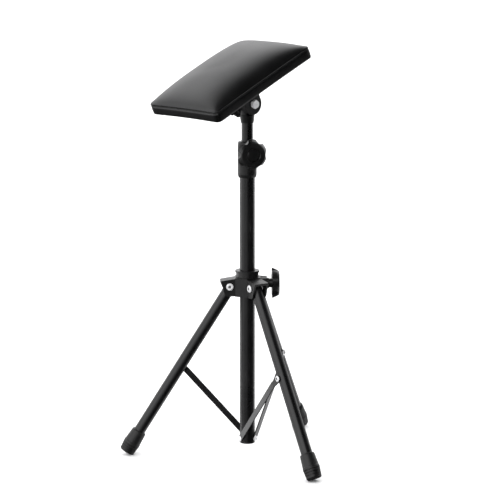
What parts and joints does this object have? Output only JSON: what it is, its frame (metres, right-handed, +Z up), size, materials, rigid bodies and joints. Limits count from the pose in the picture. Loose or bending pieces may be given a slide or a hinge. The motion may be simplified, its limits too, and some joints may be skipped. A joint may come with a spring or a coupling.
{
  "type": "arm rest stand",
  "caption": "Padded arm rest on a folding tripod: tilting oblong cushion on a height adjustable column with clamp knobs, hinged legs and flat braces.",
  "frame": {"origin": "on the floor, under the column's axis", "axes": "+Z up along the column, towards the pad; -X towards the left leg's foot"},
  "size_m": [0.3299, 0.377, 0.6959],
  "materials": {
    "tube_black": "satin black powder coat",
    "hub_plastic": "moulded black nylon",
    "bush_plastic": "black acetal",
    "knob_plastic": "moulded black plastic",
    "foot_rubber": "black rubber",
    "strip_steel": "black coated strip",
    "zinc_steel": "zinc plated",
    "brass_insert": "turned",
    "pale_plastic": "natural nylon",
    "bracket_steel": "black powder coat",
    "screw_black": "black oxide",
    "plywood": "raw plywood",
    "foam": "open cell foam",
    "cover_leather": "smooth black artificial leather",
    "base_cloth": "black woven dust cloth"
  },
  "bodies": {
    "column": {"column_tube": "tube_black", "column_end_cap": "bush_plastic", "top_collar": "hub_plastic", "collar_nut": "brass_insert"},
    "hub": {"hub": "hub_plastic", "hub_bush": "bush_plastic", "hub_nut": "brass_insert", "hub_pivot_rivets": "zinc_steel"},
    "height_knob": {"height_knob": "knob_plastic", "height_screw": "zinc_steel", "height_clamp_pad": "pale_plastic"},
    "hub_knob": {"hub_knob": "knob_plastic", "hub_screw": "zinc_steel", "hub_clamp_pad": "pale_plastic"},
    "tilt_knob": {"tilt_knob": "knob_plastic", "tilt_knob_nut": "zinc_steel"},
    "riser_bush": {"riser_bush": "pale_plastic"},
    "riser": {"riser_tube": "tube_black", "tilt_head": "hub_plastic"},
    "pad": {"pad_bracket": "bracket_steel", "tilt_bolt": "zinc_steel", "tilt_bolt_washer": "zinc_steel", "tilt_knob_washer": "zinc_steel", "bracket_screws": "screw_black", "board_tee_nuts": "zinc_steel", "pad_board": "plywood", "pad_foam": "foam", "pad_cover": "cover_leather", "pad_base_cloth": "base_cloth"},
    "leg_left": {"leg_tube_left": "tube_black", "leg_end_left": "bush_plastic", "foot_left": "foot_rubber", "brace_rivet_left": "zinc_steel"},
    "brace_left": {"brace_left": "strip_steel", "brace_foot_rivet_left": "zinc_steel"},
    "leg_front": {"leg_tube_front": "tube_black", "leg_end_front": "bush_plastic", "foot_front": "foot_rubber", "brace_rivet_front": "zinc_steel"},
    "brace_front": {"brace_front": "strip_steel", "brace_foot_rivet_front": "zinc_steel"},
    "leg_back": {"leg_tube_back": "tube_black", "leg_end_back": "bush_plastic", "foot_back": "foot_rubber", "brace_rivet_back": "zinc_steel"},
    "brace_back": {"brace_back": "strip_steel", "brace_foot_rivet_back": "zinc_steel"}
  },
  "joints": [
    {"name": "hub_slide", "type": "slide", "parent": "column", "child": "hub", "axis": [0, 0, 1], "range_m": [0, 0.062]},
    {"name": "leg_left_fold", "type": "hinge", "parent": "hub", "child": "leg_left", "pos_m": [-0.0297, 0, 0.29078], "axis": [0, -1, 0], "range_deg": [0, 29.11]},
    {"name": "leg_front_fold", "type": "hinge", "parent": "hub", "child": "leg_front", "pos_m": [0.01485, -0.02572, 0.29078], "axis": [0.866, 0.5, 0], "range_deg": [0, 29.11]},
    {"name": "leg_back_fold", "type": "hinge", "parent": "hub", "child": "leg_back", "pos_m": [0.01485, 0.02572, 0.29078], "axis": [-0.866, 0.5, 0], "range_deg": [0, 29.11]},
    {"name": "brace_left_pivot", "type": "hinge", "parent": "leg_left", "child": "brace_left", "pos_m": [-0.11249, 0, 0.15385], "axis": [0, -1, 0], "range_deg": [0, 0.52]},
    {"name": "brace_front_pivot", "type": "hinge", "parent": "leg_front", "child": "brace_front", "pos_m": [0.05625, -0.09742, 0.15385], "axis": [0.866, 0.5, 0], "range_deg": [0, 0.52]},
    {"name": "brace_back_pivot", "type": "hinge", "parent": "leg_back", "child": "brace_back", "pos_m": [0.05625, 0.09742, 0.15385], "axis": [-0.866, 0.5, 0], "range_deg": [0, 0.52]},
    {"name": "height_slide", "type": "slide", "parent": "column", "child": "riser_bush", "axis": [0, 0, 1], "range_m": [-0.028, 0.15]},
    {"name": "riser_swivel", "type": "hinge", "parent": "riser_bush", "child": "riser", "pos_m": [0, 0, 0.55], "axis": [0, 0, 1], "continuous": true},
    {"name": "pad_tilt", "type": "hinge", "parent": "riser", "child": "pad", "pos_m": [0, 0, 0.597], "axis": [0.6361, -0.7716, 0], "range_deg": [-65, 40]},
    {"name": "height_knob_turn", "type": "hinge", "parent": "column", "child": "height_knob", "pos_m": [0, 0, 0.5155], "axis": [0.2198, -0.9755, 0], "range_deg": [0, 360]},
    {"name": "hub_knob_turn", "type": "hinge", "parent": "hub", "child": "hub_knob", "pos_m": [0, 0, 0.29458], "axis": [1, 0, 0], "range_deg": [0, 360]},
    {"name": "tilt_knob_turn", "type": "hinge", "parent": "pad", "child": "tilt_knob", "pos_m": [0, 0, 0.597], "axis": [-0.6361, 0.7716, 0], "range_deg": [0, 360]}
  ],
  "couplings": [
    {"joint": "leg_left_fold", "follows": "hub_slide", "rad_per_m": 8.1817},
    {"joint": "leg_front_fold", "follows": "hub_slide", "rad_per_m": 8.1817},
    {"joint": "leg_back_fold", "follows": "hub_slide", "rad_per_m": 8.1817},
    {"joint": "brace_left_pivot", "follows": "hub_slide", "rad_per_m": 0.13214},
    {"joint": "brace_front_pivot", "follows": "hub_slide", "rad_per_m": 0.13214},
    {"joint": "brace_back_pivot", "follows": "hub_slide", "rad_per_m": 0.13214}
  ]
}
